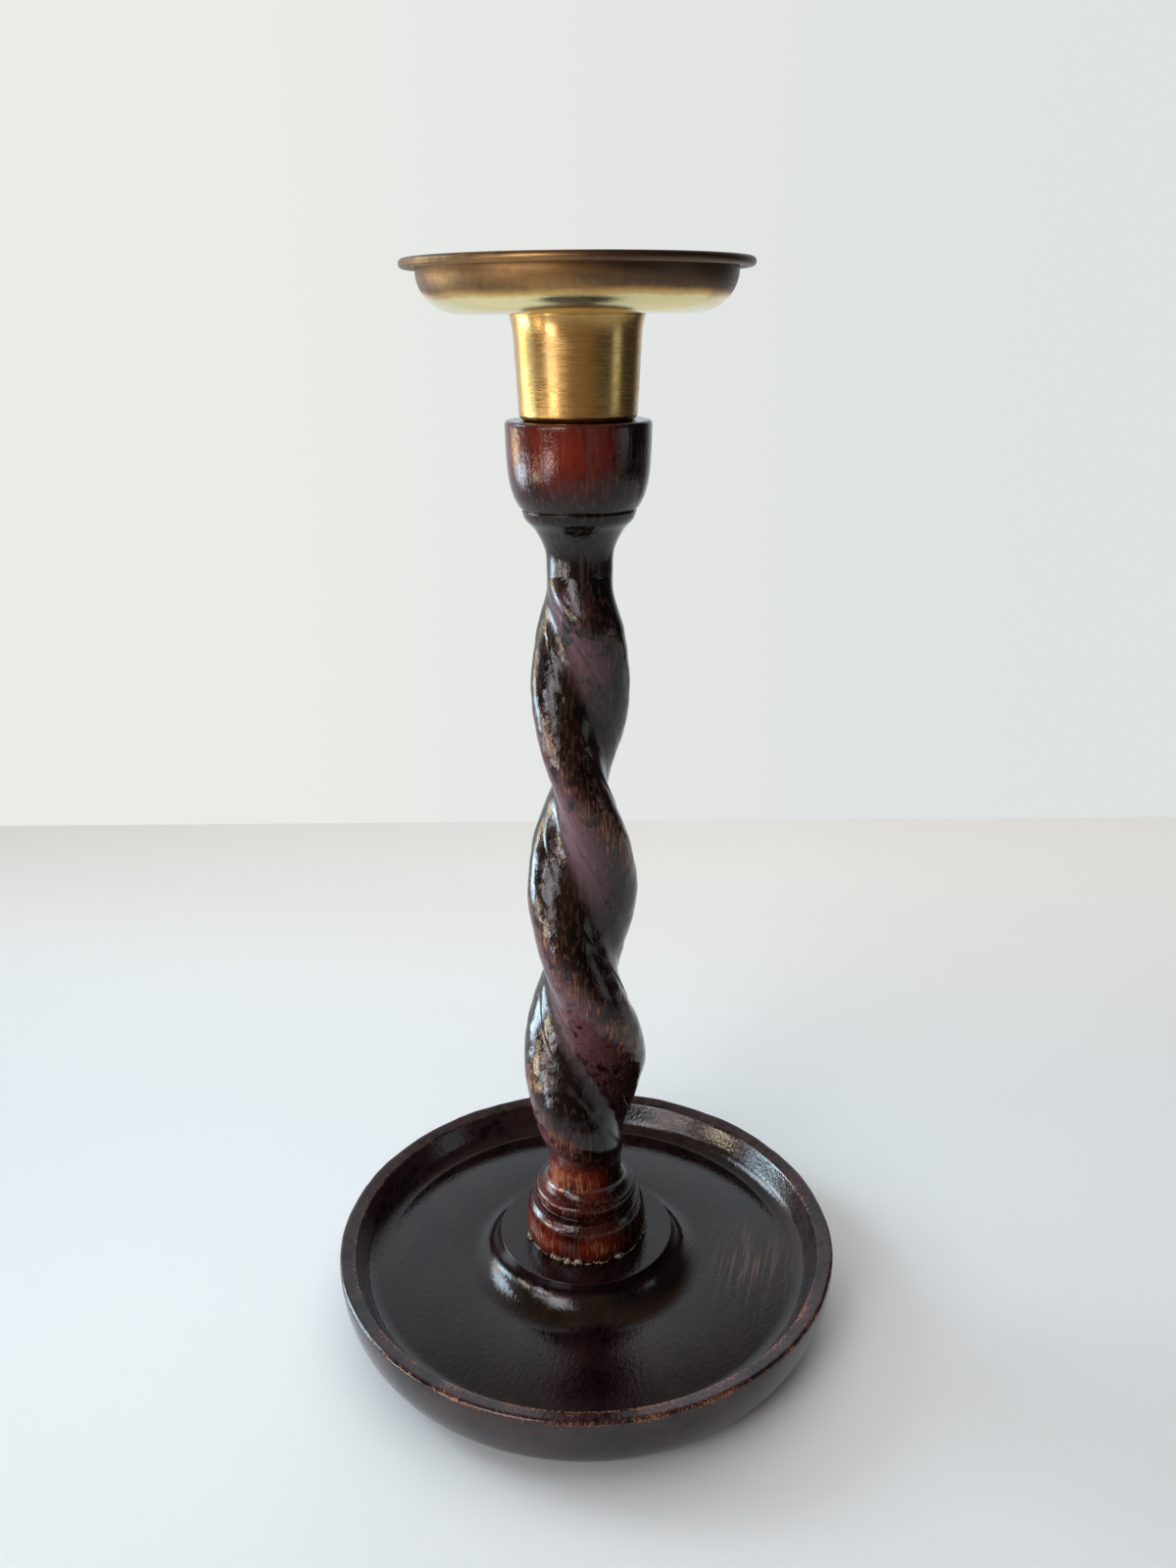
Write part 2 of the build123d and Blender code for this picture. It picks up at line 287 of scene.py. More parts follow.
def wrapped_piece(name, grid, attributes, closed=False):
    """A closed mesh object over a grid of points, rows by columns. Columns join round the axis.
    The rows join end to start when closed, and otherwise the first and last row are each one point
    on the axis."""
    rows, columns = grid.shape[:2]
    row, column = np.meshgrid(
        np.arange(rows if closed else rows - 1), np.arange(columns), indexing="ij"
    )
    above, beside = (row + 1) % rows, (column + 1) % columns
    quads = np.stack([
        row * columns + column,
        row * columns + beside,
        above * columns + beside,
        above * columns + column,
    ], axis=-1)
    used = np.ones(rows * columns, bool)
    if closed:
        faces = quads.reshape(-1, 4).tolist()
    else:
        last = (rows - 1) * columns
        used[1:columns] = False
        used[last + 1:] = False
        faces = quads[1:-1].reshape(-1, 4).tolist()
        first_fan = [np.zeros(columns, int), quads[0, :, 2], quads[0, :, 3]]
        last_fan = [quads[-1, :, 0], quads[-1, :, 1], np.full(columns, last)]
        faces += np.column_stack(first_fan).tolist() + np.column_stack(last_fan).tolist()
    renumbered = (np.cumsum(used) - 1).tolist()
    faces = [[renumbered[corner] for corner in face] for face in faces]
    mesh = bpy.data.meshes.new(name)
    mesh.from_pydata(grid.reshape(-1, 3)[used], [], faces)
    for label, values in attributes.items():
        values = np.broadcast_to(values, grid.shape[:2]).reshape(-1)[used]
        attribute = mesh.attributes.new(label, "FLOAT", "POINT")
        attribute.data.foreach_set("value", values.astype(np.float32))
    mesh.shade_smooth()
    piece = bpy.data.objects.new(name, mesh)
    bpy.context.collection.objects.link(piece)
    return piece


def bump_at(values, middle, width):
    """1 where the values are at the middle, falling off like a bell over the width."""
    return np.exp(-(((values - middle) / width) ** 2))


def texture_place(tree, turn=0.0, scale=(1, 1, 1)):
    """Object coordinates, turned about the upright axis and then stretched."""
    turned = shader_node(tree, "ShaderNodeMapping", {
        "Vector": shader_node(tree, "ShaderNodeTexCoord").outputs["Object"],
        "Rotation": (0, 0, turn),
    }).outputs[0]
    return shader_node(tree, "ShaderNodeMapping", {"Vector": turned, "Scale": scale}).outputs[0]


def noise(tree, place, scale, detail=2.0, roughness=0.5):
    """Cloudy noise from 0 to 1 at a place."""
    return shader_node(tree, "ShaderNodeTexNoise", {
        "Vector": place,
        "Scale": scale,
        "Detail": detail,
        "Roughness": roughness,
    }).outputs[0]


def specks(tree, place, scale, share, size):
    """1 on small round specks and 0 between them: the middles of a share of a honeycomb's cells."""
    cells = shader_node(tree, "ShaderNodeTexVoronoi", {"Vector": place, "Scale": scale})
    chosen = ramp(tree, cells.outputs["Color"], 1 - share, 1.02 - share)
    middle = ramp(tree, cells.outputs["Distance"], size / 2, size, 1.0, 0.0)
    return combine(tree, "MULTIPLY", chosen, middle)


def carried(tree, label):
    """A value that the piece carries at each of its points."""
    return shader_node(tree, "ShaderNodeAttribute", attribute_name=label).outputs["Fac"]


def shellacked_oak(name, grain_turn, along, rubbed, across, index):
    """Oak stained nearly black under shellac of an index of refraction, rubbed thin in places.
    Pores, rubbed places and clouds are each stretched by their scales into the grain's direction.
    The piece carries worn, how far it is rubbed through, which on the stem's foot also holds a
    painted highlight; glow, how red the stain shows, which on the stem is painted light, red only
    on the front-left where light falls; haze, how far the shellac has gone dull and purple, partly
    painted sheen that stands for reflections; and grain, how open the pores are."""
    near_black, dark_brown = (0.0005, 0.0004, 0.0006, 1), (0.0055, 0.0024, 0.0027, 1)
    dull_purple_sheen, lit_stain_red = (0.094, 0.039, 0.049, 1), (0.18, 0.0155, 0.0065, 1)
    pore_brown, bare_wood = (0.13, 0.072, 0.055, 1), (0.20, 0.080, 0.038, 1)
    dust_grey, dust_share, speck_size = (0.45, 0.42, 0.40, 1), 0.05, 0.08
    relief_depth, relief_strength = 0.00011, 0.7
    material, tree, shader = new_material(name)
    place = texture_place(tree)
    grain_place = texture_place(tree, grain_turn, along)
    clouds = noise(tree, texture_place(tree, grain_turn, across), 75, 4.0, 0.6)
    mottle = noise(tree, place, 420, 3.0, 0.6)
    dapple = noise(tree, texture_place(tree, grain_turn, across), 1150, 3.0, 0.6)
    streaks = noise(tree, grain_place, 1300, 3.0, 0.6)
    flecks = noise(tree, texture_place(tree, grain_turn, rubbed), 1900, 3.0, 0.65)
    pores = combine(tree, "MULTIPLY", carried(tree, "grain"), ramp(tree, streaks, 0.52, 0.61))

    stain = blended(tree, ramp(tree, clouds, 0.40, 0.66), near_black, dark_brown)
    patches = ramp(tree, combine(tree, "ADD", clouds, mottle), 0.80, 1.04)
    # Dull purple haze: partly real dulled shellac and partly painted sheen that stands for
    # reflections of the room.
    hazy_sheen = combine(tree, "MULTIPLY", carried(tree, "haze_and_painted_sheen"), patches)
    stain = blended(tree, hazy_sheen, stain, dull_purple_sheen)
    # Painted light: where the piece carries this mark, the stain is painted red as if lit.
    red_stain_and_painted_light = carried(tree, "red_stain_and_painted_light")
    red = combine(tree, "MULTIPLY", red_stain_and_painted_light, ramp(tree, clouds, 0.34, 0.56, 0.15, 1.0))
    stain = blended(tree, red, stain, lit_stain_red)
    stain = blended(tree, combine(tree, "MULTIPLY", pores, 0.6), stain, pore_brown)
    # Rubbed wear, plus the painted highlight that the stem carries on its foot.
    rub_and_painted_light = combine(tree, "ADD", carried(tree, "wear_and_painted_light"), combine(tree, "MULTIPLY", mottle, 0.4))
    rub_and_painted_light = combine(tree, "ADD", rub_and_painted_light, combine(tree, "MULTIPLY", clouds, 0.8))
    rub_and_painted_light = ramp(tree, combine(tree, "ADD", rub_and_painted_light, flecks), 1.46, 1.68)
    stain = blended(tree, rub_and_painted_light, stain, bare_wood)
    stain = blended(tree, specks(tree, place, 330, dust_share, speck_size), stain, dust_grey)
    tree.links.new(stain, shader.inputs["Base Color"])

    dulled = combine(tree, "MULTIPLY", rub_and_painted_light, 0.22)
    dulled = combine(tree, "ADD", dulled, combine(tree, "MULTIPLY", hazy_sheen, 0.03))
    dulled = combine(tree, "ADD", dulled, ramp(tree, mottle, 0.35, 0.65, 0.07, 0.15))
    tree.links.new(dulled, shader.inputs["Roughness"])
    relief = combine(tree, "SUBTRACT", dapple, combine(tree, "MULTIPLY", pores, 0.35))
    bump = shader_node(tree, "ShaderNodeBump", {
        "Height": relief,
        "Strength": relief_strength,
        "Distance": relief_depth,
    })
    tree.links.new(bump.outputs[0], shader.inputs["Normal"])
    shader.inputs["IOR"].default_value = index
    return material


dish_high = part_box("base_dish")[1]
dish_radius, dish_boss_height = dish_high.x, dish_high.z
dish_foot_tuck = 0.0105
dish_foot_radius = dish_radius - dish_foot_tuck
dish_rim_height = 0.0190
dish_rim_ease = 0.0009
dish_rim_width = 0.0039
dish_rim_fall = 0.0007
dish_wall_lean = 25
dish_cove = 0.0046
dish_floor_height = 0.0110
dish_floor_rise = 0.0009
dish_floor_crown = 0.0005
boss_radius = 0.0222
boss_cove_width = 0.0082
glue_hole_radius = 0.00645
glue_hole_depth = 0.0140
dish_softness, dish_rings, dish_around = 0.00035, 190, 480
dish_wave, dish_wave_length = 0.00012, 0.022
dish_ripple, dish_ripple_length = 0.00004, 0.006
dish_core_radius = 0.01
rim_wear_inset, rim_wear_width, rim_wear_depth = 0.0022, 0.0040, 0.0035
edge_wear_width, outer_wear_drop, outer_wear_depth = 0.0009, 0.0004, 0.0011
haze_and_sheen_from, haze_and_sheen_over, haze_and_sheen_below_rim = 0.0545, 0.003, 0.002
open_grain_place, open_grain_reach = (0.043, -0.006), (0.009, 0.012)
dish_grain_turn = np.radians(-76)

rim_inside, rim_inside_height = dish_radius - dish_rim_width, dish_rim_height - dish_rim_fall
wall_lean = np.radians(dish_wall_lean)
wall_foot_height = dish_floor_height + dish_cove * (1 - np.sin(wall_lean))
wall_foot_radius = rim_inside - (rim_inside_height - wall_foot_height) * np.tan(wall_lean)
floor_edge = wall_foot_radius - dish_cove * np.cos(wall_lean)
boss_foot, boss_foot_height = boss_radius + boss_cove_width, dish_floor_height + dish_floor_rise
floor_part = np.linspace(0, 1, 40)
floor_line = np.column_stack([
    floor_edge + (boss_foot - floor_edge) * floor_part,
    dish_floor_height + dish_floor_rise * floor_part
    + 4 * dish_floor_crown * floor_part * (1 - floor_part),
])
dish_radii, dish_heights, _ = turned_outline([
    [(0, 0)],
    arc_points((dish_foot_radius, dish_rim_height - dish_rim_ease),
               (dish_radius - dish_foot_radius, dish_rim_height - dish_rim_ease), -90, 0, 60),
    arc_points((dish_radius - dish_rim_ease, dish_rim_height - dish_rim_ease),
               (dish_rim_ease, dish_rim_ease), 0, 90, 12),
    [(rim_inside, rim_inside_height)],
    arc_points((floor_edge, dish_floor_height + dish_cove), (dish_cove, dish_cove),
               -dish_wall_lean, -90, 30),
    floor_line,
    arc_points((boss_foot, dish_boss_height),
               (boss_cove_width, dish_boss_height - boss_foot_height), -90, -180, 40),
    [(glue_hole_radius, dish_boss_height)],
    [(glue_hole_radius, dish_boss_height - glue_hole_depth)],
    [(0, dish_boss_height - glue_hole_depth)],
], dish_softness, dish_rings)
dish_grid = round_grid(dish_radii, dish_heights, dish_around)
at_rim = bump_at(dish_radii, dish_radius - rim_wear_inset, rim_wear_width)
at_rim *= bump_at(dish_heights, dish_rim_height, rim_wear_depth)
unevenness = gentle_waves(dish_grid, dish_wave_length, 5) * dish_wave
unevenness += gentle_waves(dish_grid, dish_ripple_length, 6) * dish_ripple
inward = np.minimum(unevenness - dish_wave, 0) * (0.25 + 0.75 * at_rim[:, None])
dish_grid[..., :2] *= 1 + (inward / np.maximum(dish_radii, dish_core_radius)[:, None])[..., None]
dish_grid[..., 2] += inward * (at_rim[:, None] > 0.2)
inner_edge = bump_at(dish_radii, rim_inside, edge_wear_width)
inner_edge *= bump_at(dish_heights, rim_inside_height, edge_wear_width)
outer_edge = bump_at(dish_radii, dish_radius, edge_wear_width)
outer_edge *= bump_at(dish_heights, dish_rim_height - outer_wear_drop, outer_wear_depth)
dish_worn = (0.31 * inner_edge + 0.24 * outer_edge + 0.22 * at_rim)[:, None]
dish_front = (1 - np.sin(np.arange(dish_around) * 2 * np.pi / dish_around)) / 2
dish_outside = np.clip((dish_radii - haze_and_sheen_from) / haze_and_sheen_over, 0, 1)
dish_outside *= dish_heights < dish_rim_height - haze_and_sheen_below_rim
open_grain = bump_at(dish_grid[..., 0], open_grain_place[0], open_grain_reach[0])
open_grain *= bump_at(dish_grid[..., 1], open_grain_place[1], open_grain_reach[1])
# The haze on the dish's rim and outside is partly dulled shellac and partly painted sheen for the
# table's reflection.
dish = wrapped_piece("turned_dish", dish_grid, {
    "wear_and_painted_light": dish_worn * (0.5 + 0.5 * dish_front),
    "red_stain_and_painted_light": 0.01,
    "haze_and_painted_sheen": (0.03 + 0.20 * at_rim + 0.12 * dish_outside)[:, None],
    "grain": 0.05 + 0.95 * open_grain,
})
dish.data.materials.append(
    shellacked_oak("dish_oak", dish_grain_turn, (0.035, 1, 1), (0.6, 1, 1), (0.6, 1, 1), 1.5)
)
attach(dish, "root")
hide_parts("base_dish")


# The stem: one length of oak. Its foot ring, bead, neck, throat and bowl are turned, and the two
# strands of the twist are carved between them by hand, winding left-handed.
def flowing_line(points, count=30):
    """A smooth line through a few points: cubics between them, whose slope at each point is that
    from the point before to the point after."""
    points = np.asarray(points, float)
    slopes = np.gradient(points, axis=0)
    place = np.linspace(0, len(points) - 1, count)
    first = np.minimum(place.astype(int), len(points) - 2)
    part = (place - first)[:, None]
    start, end, out, arriving = points[first], points[first + 1], slopes[first], slopes[first + 1]
    return (
        (2 * part**3 - 3 * part**2 + 1) * start
        + (part**3 - 2 * part**2 + part) * out
        + (3 * part**2 - 2 * part**3) * end
        + (part**3 - part**2) * arriving
    )


stem_low, stem_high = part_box("twist_stem")
ring_foot, head_top = dish_boss_height, stem_high.z
tenon_radius, tenon_foot = 0.00635, stem_low.z
ring_radius, ring_height = 0.0154, 0.0104
groove_depth, groove_height = 0.0016, 0.0009
bead_radius, bead_height = 0.0128, 0.0032
foot_cove_height = 0.0039
lower_neck_radius, lower_neck_height = 0.0091, 0.0042
twist_length, twist_pitch = 0.1480, 0.0950
strand_offset, run_out = 0.0053, 0.0120
first_strand_angle = np.radians(108)
valley_softness_share, valley_fill_share = 0.25, 0.7
upper_neck_radius = 0.00715
throat_height, throat_radius = 0.0138, 0.0123
quirk_depth, quirk_height = 0.00035, 0.0007
bowl_foot_radius, bowl_radius = 0.01275, 0.0154
bowl_height, bowl_edge = 0.0177, 0.0008
pilot_radius, pilot_depth = 0.00175, 0.0160
strand_swell_shares = (
    (0, 0.1, 0.28, 0.45, 0.6, 0.69, 0.84, 1),
    (1, 1.08, 1.08, 0.98, 0.91, 0.82, 0.91, 1),
)
strand_offset_shares = (
    (0, 0.2, 0.29, 0.37, 0.68, 0.84, 1),
    (0.9, 1.04, 1.1, 1, 0.97, 0.82, 0.7),
)
stem_softness, stem_rings, stem_around = 0.00030, 620, 154
cut_wave, cut_wave_length = 0.00016, 0.016
cut_ripple, cut_ripple_length = 0.00005, 0.005
stem_core_radius = 0.004
arris_wear_width, head_wear_depth, ring_wear_depth = 0.001, 0.0012, 0.003
bead_wear_width, bead_wear_depth = 0.0006, 0.001
red_bowl_rise, red_bowl_depth = 0.0125, 0.0072
red_neck_rise, red_neck_depth = 0.001, 0.0055
red_ring_rise, red_ring_depth = 0.005, 0.004
lit_side_angle, front_right_angle = np.radians(-122), np.radians(-40)
ring_shares = np.array([(0.965, 0), (1, 0.38), (0.965, 0.78), (0.895, 1)])
throat_shares = np.array([(0, 0), (0.06, 0.38), (0.45, 0.69), (0.86, 0.86), (1, 1)])
bowl_shares = np.array([(0, 0), (0.47, 0.14), (0.81, 0.36), (0.96, 0.66), (1, 0.93)])

ring_top = ring_foot + ring_height
bead_foot = ring_top + groove_height
bead_top = bead_foot + bead_height
foot_cove_top = bead_top + foot_cove_height
twist_foot = foot_cove_top + lower_neck_height
twist_top = twist_foot + twist_length
throat_top = twist_top + throat_height
bowl_foot = throat_top + quirk_height
groove_radius = bead_radius - groove_depth / 2
throat_span = (throat_radius - upper_neck_radius, throat_height)
bowl_span = (bowl_radius - bowl_foot_radius, bowl_height)
stem_radii, stem_heights, _ = turned_outline([
    [(0, tenon_foot), (tenon_radius, tenon_foot), (tenon_radius, ring_foot)],
    flowing_line(ring_shares * (ring_radius, ring_height) + (0, ring_foot)),
    [(groove_radius, ring_top + groove_height / 4), (groove_radius, bead_foot)],
    arc_points((groove_radius, (bead_foot + bead_top) / 2),
               (bead_radius - groove_radius, bead_height / 2), -90, 90, 24),
    arc_points((groove_radius, foot_cove_top),
               (groove_radius - lower_neck_radius, foot_cove_height), -90, -180, 24),
    [(lower_neck_radius, twist_foot), (upper_neck_radius, twist_top)],
    flowing_line(throat_shares * throat_span + (upper_neck_radius, twist_top)),
    [(throat_radius - quirk_depth, throat_top + quirk_height / 2)],
    flowing_line(bowl_shares * bowl_span + (bowl_foot_radius, bowl_foot)),
    arc_points((bowl_radius - bowl_edge, head_top - bowl_edge), (bowl_edge, bowl_edge), 0, 90, 12),
    [(pilot_radius, head_top), (pilot_radius, head_top - pilot_depth), (0, head_top - pilot_depth)],
], stem_softness, stem_rings, widest=0.00042, sharpest=0.10)

# Over the twist a section is two circles side by side on one turning line. Off that line by an
# angle, its radius is that of the nearer circle, with the valley between them softened and part
# filled. Up the twist, the two tables of shares above thin and swell the circles and their offset.
stem_angles = np.arange(stem_around) * 2 * np.pi / stem_around
up_the_twist = np.clip((stem_heights - twist_foot) / twist_length, 0, 1)
from_ends = np.minimum(stem_heights - twist_foot, twist_top - stem_heights)
is_twist = (from_ends > 0) & (stem_radii > 2 * pilot_radius)
strand_fade = np.where(is_twist, np.sin(np.pi / 2 * np.clip(from_ends / run_out, 0, 1)), 0)[:, None]
neck_radii = lower_neck_radius + (upper_neck_radius - lower_neck_radius) * up_the_twist
strand_radii = (neck_radii * np.interp(up_the_twist, *strand_swell_shares))[:, None]
strand_offsets = strand_offset * np.interp(up_the_twist, *strand_offset_shares)[:, None]
strand_offsets *= strand_fade
strand_turns = first_strand_angle - 2 * np.pi * (stem_heights - twist_foot) / twist_pitch
off_strand = stem_angles - strand_turns[:, None]
strand_reach = (np.hypot(np.cos(off_strand), valley_softness_share) - valley_softness_share) / (
    np.hypot(1, valley_softness_share) - valley_softness_share
)
carved = np.sqrt(strand_radii**2 - (strand_offsets * np.sin(off_strand)) ** 2)
carved += strand_offsets * strand_reach
flat_across = strand_radii / np.maximum(np.abs(np.sin(off_strand)), 0.1)
in_valley = carved * np.abs(np.cos(off_strand)) < strand_offsets
carved += np.where(in_valley, valley_fill_share * (flat_across - carved), 0)
ring_radii = np.where(is_twist[:, None], carved, stem_radii[:, None])
stem_grid = round_grid(ring_radii, stem_heights, stem_around)
hand_cut = gentle_waves(stem_grid, cut_wave_length, 11) * cut_wave
hand_cut += gentle_waves(stem_grid, cut_ripple_length, 12) * cut_ripple
cut_share = hand_cut * strand_fade / np.maximum(stem_radii, stem_core_radius)[:, None]
stem_grid[..., :2] *= 1 + cut_share[..., None]

crest = strand_reach**3 * strand_fade
flank_below_crest = np.clip(0.42 - 0.68 * np.sin(2 * off_strand), 0, 1) * strand_fade
# The front-left side, facing the window lamps: the stem's red and its pale foot are painted light
# there.
lit_front_left = np.clip(1.5 * np.cos(stem_angles - lit_side_angle) - 0.35, 0, 1)
arrises = (
    bump_at(stem_radii, bowl_radius, arris_wear_width)
    * bump_at(stem_heights, head_top, head_wear_depth)
    + bump_at(stem_radii, ring_radius, arris_wear_width)
    * bump_at(stem_heights, ring_foot + ring_height * 0.4, ring_wear_depth)
    + bump_at(stem_radii, bead_radius, bead_wear_width)
    * bump_at(stem_heights, bead_foot + bead_height / 2, bead_wear_depth)
)
# Heights where the stain is painted red on the lit side: the bowl, the neck and the ring.
red_bowl = bump_at(stem_heights, bowl_foot + red_bowl_rise, red_bowl_depth)
red_neck = bump_at(stem_heights, foot_cove_top + red_neck_rise, red_neck_depth)
red_ring = bump_at(stem_heights, ring_foot + red_ring_rise, red_ring_depth)
# Painted highlight: the neck and the ring are painted toward bare-wood colour on their lit
# front-left side.
lit_foot_highlight = (0.50 * red_neck + 0.20 * red_ring)[:, None] * lit_front_left
# Painted reflection: purple sheen on the strands' left-facing lower flanks and on the right of the
# bowl.
painted_sheen_left = 0.05 + 0.95 * np.clip(0.72 - 0.85 * np.cos(stem_angles), 0, 1)
painted_sheen_right = np.clip(1.4 * np.cos(stem_angles - front_right_angle) - 0.2, 0, 1)
# Below, the wear mark also carries the foot's painted highlight, the red mark is painted light on
# the front-left, and the haze mark is partly painted sheen.
stem = wrapped_piece("twisted_stem", stem_grid, {
    "wear_and_painted_light": 0.345 * crest + (0.22 * arrises)[:, None] + lit_foot_highlight,
    "red_stain_and_painted_light": (0.9 * red_bowl + 0.9 * red_neck + 0.6 * red_ring)[:, None] * lit_front_left + 0.02,
    "haze_and_painted_sheen": flank_below_crest * painted_sheen_left + 0.25 * red_bowl[:, None] * painted_sheen_right,
    "grain": 0.35,
})
stem.data.materials.append(
    shellacked_oak("stem_oak", 0.0, (1, 1, 0.06), (1, 1, 0.09), (1, 1, 0.55), 1.44)
)
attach(stem, "root")
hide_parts("twist_stem")


# The candle cup: sheet brass drawn to a slightly tapered cup, flared under the pan and rolled over
# it at the mouth. The brass is brushed round and has gone tan and brown in patches.
def aged_brass(name, tarnished=0.0):
    """Old lacquered brass: pale gold where it is clean, then tan, then brown, then nearly black, in
    clouds and specks, with fine scratches round the axis. The piece carries walked, the length
    along its outline, which spaces the scratches, and tarnish, which adds to how far the metal as a
    whole is tarnished; on the pan it also carries painted shade."""
    pale_gold, tan_gold = (0.80, 0.70, 0.38, 1), (0.62, 0.39, 0.14, 1)
    brown, dark_brown = (0.38, 0.22, 0.085, 1), (0.10, 0.066, 0.05, 1)
    relief_depth, relief_strength = 0.00003, 0.5
    material, tree, shader = new_material(name)
    place = texture_place(tree)
    across, along = shader_node(tree, "ShaderNodeSeparateXYZ", {0: place}).outputs[:2]
    ring_place = shader_node(tree, "ShaderNodeCombineXYZ", {
        "X": combine(tree, "MULTIPLY", across, 0.05),
        "Y": combine(tree, "MULTIPLY", along, 0.05),
        "Z": combine(tree, "ADD", carried(tree, "walked"), combine(tree, "MULTIPLY", across, 0.06)),
    }).outputs[0]
    scratches = noise(tree, ring_place, 4200, 3.0, 0.7)
    bands = noise(tree, ring_place, 500, 2.0, 0.5)
    clouds = noise(tree, texture_place(tree, 0.0, (1, 1, 0.6)), 90, 4.0, 0.6)
    spots = noise(tree, place, 700, 3.0, 0.6)
    age = combine(tree, "MULTIPLY", clouds, 0.6)
    age = combine(tree, "ADD", age, combine(tree, "MULTIPLY", spots, 0.25))
    age = combine(tree, "ADD", age, combine(tree, "MULTIPLY", bands, 0.35))
    age = combine(tree, "ADD", age, combine(tree, "ADD", carried(tree, "tarnish_and_painted_shade"), tarnished))
    metal = blended(tree, ramp(tree, age, 0.42, 0.85), pale_gold, tan_gold)
    metal = blended(tree, ramp(tree, age, 0.78, 1.25), metal, brown)
    metal = blended(tree, ramp(tree, age, 1.10, 1.60, 0.0, 0.9), metal, dark_brown)
    tree.links.new(metal, shader.inputs["Base Color"])
    shader.inputs["Metallic"].default_value = 1.0
    dulled = ramp(tree, age, 0.6, 1.4, 0.18, 0.42)
    dulled = combine(tree, "ADD", dulled, ramp(tree, scratches, 0.3, 0.7, -0.04, 0.07))
    tree.links.new(dulled, shader.inputs["Roughness"])
    relief = combine(tree, "ADD", scratches, combine(tree, "MULTIPLY", spots, 0.3))
    bump = shader_node(tree, "ShaderNodeBump", {
        "Height": relief,
        "Strength": relief_strength,
        "Distance": relief_depth,
    })
    tree.links.new(bump.outputs[0], shader.inputs["Normal"])
    return material


cup_low, cup_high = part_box("candle_cup")
cup_foot, cup_mouth = cup_low.z, cup_high.z
cup_flange_radius = cup_high.x
cup_flange, cup_wall = 0.0007, 0.0009
pan_thickness = 0.0008
pan_underside = cup_mouth - cup_flange - pan_thickness
cup_foot_radius, cup_waist_radius = 0.01235, 0.0131
cup_shoulder_radius, cup_neck_radius = 0.0139, 0.0134
cup_flare = 0.0050
cup_corner = 0.0013
cup_inner_corner = cup_corner - cup_wall / 2
cup_flare_foot = pan_underside - cup_flare
brass_softness = 0.00018
cup_rings, cup_around = 170, 240
cup_tarnish, cup_foot_tarnish, cup_foot_depth = 0.22, 0.15, 0.004
flare_part = np.linspace(0, 1, 12)
flare_swell = 0.35 * flare_part + 0.65 * flare_part**2.4
flare_line = np.column_stack([
    cup_waist_radius + (cup_shoulder_radius - cup_waist_radius) * flare_swell,
    cup_flare_foot + cup_flare * flare_part,
])
cup_radii, cup_heights, cup_walked = turned_outline([
    [(pilot_radius, cup_foot)],
    arc_points((cup_foot_radius - cup_corner, cup_foot + cup_corner), (cup_corner, cup_corner),
               -90, 0, 12),
    flare_line,
    [(cup_neck_radius, pan_underside), (cup_neck_radius, pan_underside + pan_thickness)],
    [(cup_flange_radius, pan_underside + pan_thickness), (cup_flange_radius, cup_mouth)],
    [(cup_neck_radius - cup_wall, cup_mouth), (cup_neck_radius - cup_wall, pan_underside)],
    [(cup_waist_radius - cup_wall, cup_flare_foot)],
    arc_points((cup_foot_radius - cup_wall - cup_inner_corner,
                cup_foot + cup_wall + cup_inner_corner),
               (cup_inner_corner, cup_inner_corner), 0, -90, 10),
    [(pilot_radius, cup_foot + cup_wall)],
], brass_softness, cup_rings, closed=True)
cup_grid = round_grid(cup_radii[:-1], cup_heights[:-1], cup_around)
cup = wrapped_piece("drawn_cup", cup_grid, {
    "walked": cup_walked[:-1, None],
    "tarnish_and_painted_shade": (
        cup_tarnish + cup_foot_tarnish * bump_at(cup_heights[:-1], cup_foot, cup_foot_depth)
    )[:, None],
}, closed=True)
cup.data.materials.append(aged_brass("cup_brass"))
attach(cup, "root")
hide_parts("candle_cup")


# The drip pan: a saucer spun from sheet brass round the cup's neck, its edge turned out and rolled
# over into a bead. Its upright wall is tarnished brown and darkened further by painted shade, for
# the
# dark room mirrored in it: paler low down on the left, towards the window light, and darkest on the
# right. Its round underside is still pale.
pan_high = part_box("drip_pan")[1]
pan_rim_radius, pan_top = pan_high.x, pan_high.z
bead_roll = 0.00095
pan_hole = 0.01345
pan_floor_radius, pan_wall_radius = 0.0236, 0.0325
pan_bend = 0.0010
pan_rings, pan_around = 200, 360
pan_dent, pan_dent_length = 0.00010, 0.035
dents_from, dents_over, dents_radius = 0.020, 0.012, 0.03
dark_band_from, dark_band_over = 0.0024, 0.0022
dark_band_drift, dark_band_drift_length, cloud_length = 0.0009, 0.030, 0.020
left_over, right_from, right_over = 0.028, -0.012, 0.03
bead_middle = (pan_rim_radius - bead_roll, pan_top - bead_roll)
lip_underside = bead_middle[1] - pan_thickness / 2
wall_foot = lip_underside - pan_bend
roll_start = np.degrees(np.arcsin(pan_thickness / 2 / bead_roll))
pan_radii, pan_heights, pan_walked = turned_outline([
    [(pan_hole, pan_underside)],
    arc_points((pan_floor_radius, wall_foot),
               (pan_wall_radius - pan_floor_radius, wall_foot - pan_underside), -90, 0, 50),
    [(pan_wall_radius, lip_underside)],
    arc_points(bead_middle, (bead_roll, bead_roll), -180 + roll_start, 180 - roll_start, 48),
    arc_points((pan_wall_radius - pan_thickness + pan_bend,
                lip_underside + pan_thickness - pan_bend), (pan_bend, pan_bend), 90, 180, 10),
    arc_points((pan_floor_radius, wall_foot),
               (pan_wall_radius - pan_thickness - pan_floor_radius,
                wall_foot - pan_underside - pan_thickness), 0, -90, 40),
    [(pan_hole, pan_underside + pan_thickness)],
], brass_softness, pan_rings, closed=True)
